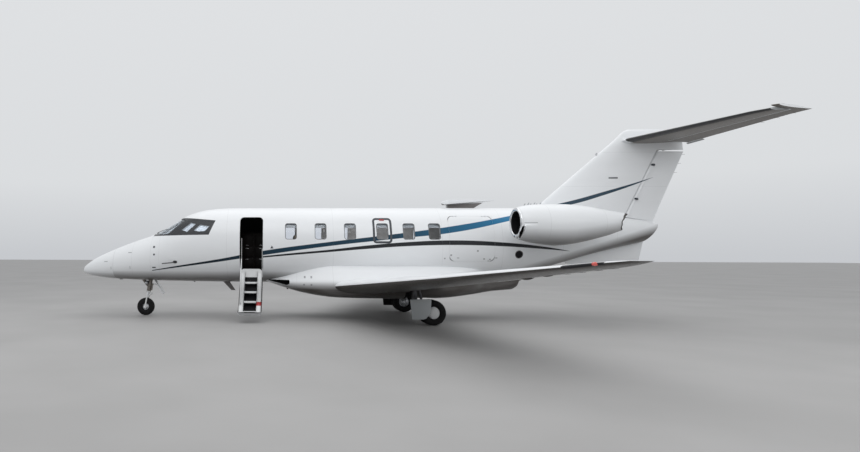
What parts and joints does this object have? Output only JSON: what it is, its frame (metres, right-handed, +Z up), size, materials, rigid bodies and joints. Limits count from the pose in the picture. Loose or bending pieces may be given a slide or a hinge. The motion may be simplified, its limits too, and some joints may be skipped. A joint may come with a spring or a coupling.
{
  "type": "light business jet",
  "caption": "Twin-engined T-tailed business jet parked on its gear with the airstair door open; doors, wheels, fans, steering and flight controls move.",
  "frame": {"origin": "on the ground, below the middle of the overall length and span, as it stands on its wheels", "axes": "+X points aft along the fuselage (the nose is at -X), +Y to starboard, +Z up; the airstair door is on the port side at -Y"},
  "size_m": [16.8463, 17, 5.205],
  "materials": {
    "white_paint": "gloss white",
    "grey_paint": "satin grey",
    "polished_metal": "polished",
    "steel": "brushed",
    "fan_metal": "brushed, dark",
    "tyre": "matt black",
    "window_glass": "dark, clear",
    "trim_dark": "matt black",
    "seat_leather": "soft, tan"
  },
  "bodies": {
    "airframe": {"radome": "white_paint", "nose_section": "white_paint", "cockpit_shell": "white_paint", "windshield_left": "window_glass", "windshield_right": "window_glass", "side_window_left": "window_glass", "side_window_right": "window_glass", "instrument_panel": "trim_dark", "cabin_shell": "white_paint", "exit_hatch": "white_paint", "cabin_windows_left": "window_glass", "cabin_windows_right": "window_glass", "cabin_floor": "trim_dark", "galley_cabinet": "trim_dark", "pilot_seat_left": "seat_leather", "pilot_seat_right": "seat_leather", "cabin_seat_1_left": "seat_leather", "cabin_seat_1_right": "seat_leather", "cabin_seat_2_left": "seat_leather", "cabin_seat_2_right": "seat_leather", "tail_body": "white_paint", "belly_fairing": "white_paint", "wing_left": "white_paint", "wing_right": "white_paint", "stabiliser": "white_paint", "fin": "white_paint", "ventral_fin": "white_paint", "nacelle_left": "white_paint", "nacelle_right": "white_paint", "engine_core_left": "steel", "engine_core_right": "steel", "pylon_left": "white_paint", "pylon_right": "white_paint", "nose_leg": "steel", "nose_gear_door": "grey_paint", "main_leg_left": "steel", "main_leg_right": "steel", "main_gear_door_left": "grey_paint", "main_gear_door_right": "grey_paint", "roof_antenna": "white_paint"},
    "nose_steer": {"nose_fork": "steel"},
    "nose_wheel": {"nose_wheel": "tyre"},
    "main_wheels_left": {"main_wheels_left": "tyre"},
    "main_wheels_right": {"main_wheels_right": "tyre"},
    "fan_left": {"fan_left": "fan_metal"},
    "fan_right": {"fan_right": "fan_metal"},
    "airstair_door": {"airstair_door": "white_paint"},
    "cargo_door": {"cargo_door": "white_paint"},
    "aileron_left": {"aileron_left": "white_paint"},
    "aileron_right": {"aileron_right": "white_paint"},
    "flap_left": {"flap_left": "white_paint"},
    "flap_right": {"flap_right": "white_paint"},
    "elevator_left": {"elevator_left": "white_paint"},
    "elevator_right": {"elevator_right": "white_paint"},
    "rudder": {"rudder": "white_paint"}
  },
  "joints": [
    {"name": "nose_steering", "type": "hinge", "parent": "airframe", "child": "nose_steer", "pos_m": [-6.615, 0, 0.245], "axis": [0.1634, 0, 0.9866], "range_deg": [-60, 60]},
    {"name": "nose_wheel_spin", "type": "hinge", "parent": "nose_steer", "child": "nose_wheel", "pos_m": [-6.615, 0, 0.245], "axis": [0, 1, 0], "continuous": true},
    {"name": "main_wheels_left_spin", "type": "hinge", "parent": "airframe", "child": "main_wheels_left", "pos_m": [0.935, -1.65, 0.31], "axis": [0, 1, 0], "continuous": true},
    {"name": "main_wheels_right_spin", "type": "hinge", "parent": "airframe", "child": "main_wheels_right", "pos_m": [0.935, 1.65, 0.31], "axis": [0, 1, 0], "continuous": true},
    {"name": "fan_left_spin", "type": "hinge", "parent": "airframe", "child": "fan_left", "pos_m": [3.475, -1.8, 2.5], "axis": [1, 0, 0], "continuous": true},
    {"name": "fan_right_spin", "type": "hinge", "parent": "airframe", "child": "fan_right", "pos_m": [3.475, 1.8, 2.5], "axis": [1, 0, 0], "continuous": true},
    {"name": "airstair_hinge", "type": "hinge", "parent": "airframe", "child": "airstair_door", "pos_m": [-3.575, -0.738, 1.27], "axis": [-1, 0, 0], "range_deg": [0, 138.5]},
    {"name": "cargo_door_hinge", "type": "hinge", "parent": "airframe", "child": "cargo_door", "pos_m": [2.195, -0.7, 2.76], "axis": [-1, 0, 0], "range_deg": [0, 90]},
    {"name": "aileron_left_hinge", "type": "hinge", "parent": "airframe", "child": "aileron_left", "pos_m": [1.22299, -5.24, 1.28099], "axis": [-0.1371, 0.9857, -0.0979], "range_deg": [-20, 20]},
    {"name": "aileron_right_hinge", "type": "hinge", "parent": "airframe", "child": "aileron_right", "pos_m": [1.22299, 5.24, 1.28099], "axis": [0.1371, 0.9857, 0.0979], "range_deg": [-20, 20]},
    {"name": "flap_left_hinge", "type": "hinge", "parent": "airframe", "child": "flap_left", "pos_m": [0.65695, -1.2, 0.71956], "axis": [-0.1382, 0.9862, -0.0907], "range_deg": [0, 35]},
    {"name": "flap_right_hinge", "type": "hinge", "parent": "airframe", "child": "flap_right", "pos_m": [0.65695, 1.2, 0.71956], "axis": [0.1382, 0.9862, 0.0907], "range_deg": [0, 35]},
    {"name": "elevator_left_hinge", "type": "hinge", "parent": "airframe", "child": "elevator_left", "pos_m": [7.705, -0.23, 4.88], "axis": [-0.1281, 0.9918, 0], "range_deg": [-31.5, 6.5]},
    {"name": "elevator_right_hinge", "type": "hinge", "parent": "airframe", "child": "elevator_right", "pos_m": [7.705, 0.23, 4.88], "axis": [0.1281, 0.9918, 0], "range_deg": [-31.5, 6.5]},
    {"name": "rudder_hinge", "type": "hinge", "parent": "airframe", "child": "rudder", "pos_m": [6.635, 0, 2.76], "axis": [0.4531, 0, 0.8915], "range_deg": [-25, 25]}
  ],
  "couplings": [
    {"joint": "elevator_right_hinge", "follows": "elevator_left_hinge", "ratio": 1},
    {"joint": "flap_right_hinge", "follows": "flap_left_hinge", "ratio": 1},
    {"joint": "aileron_right_hinge", "follows": "aileron_left_hinge", "ratio": -1}
  ]
}
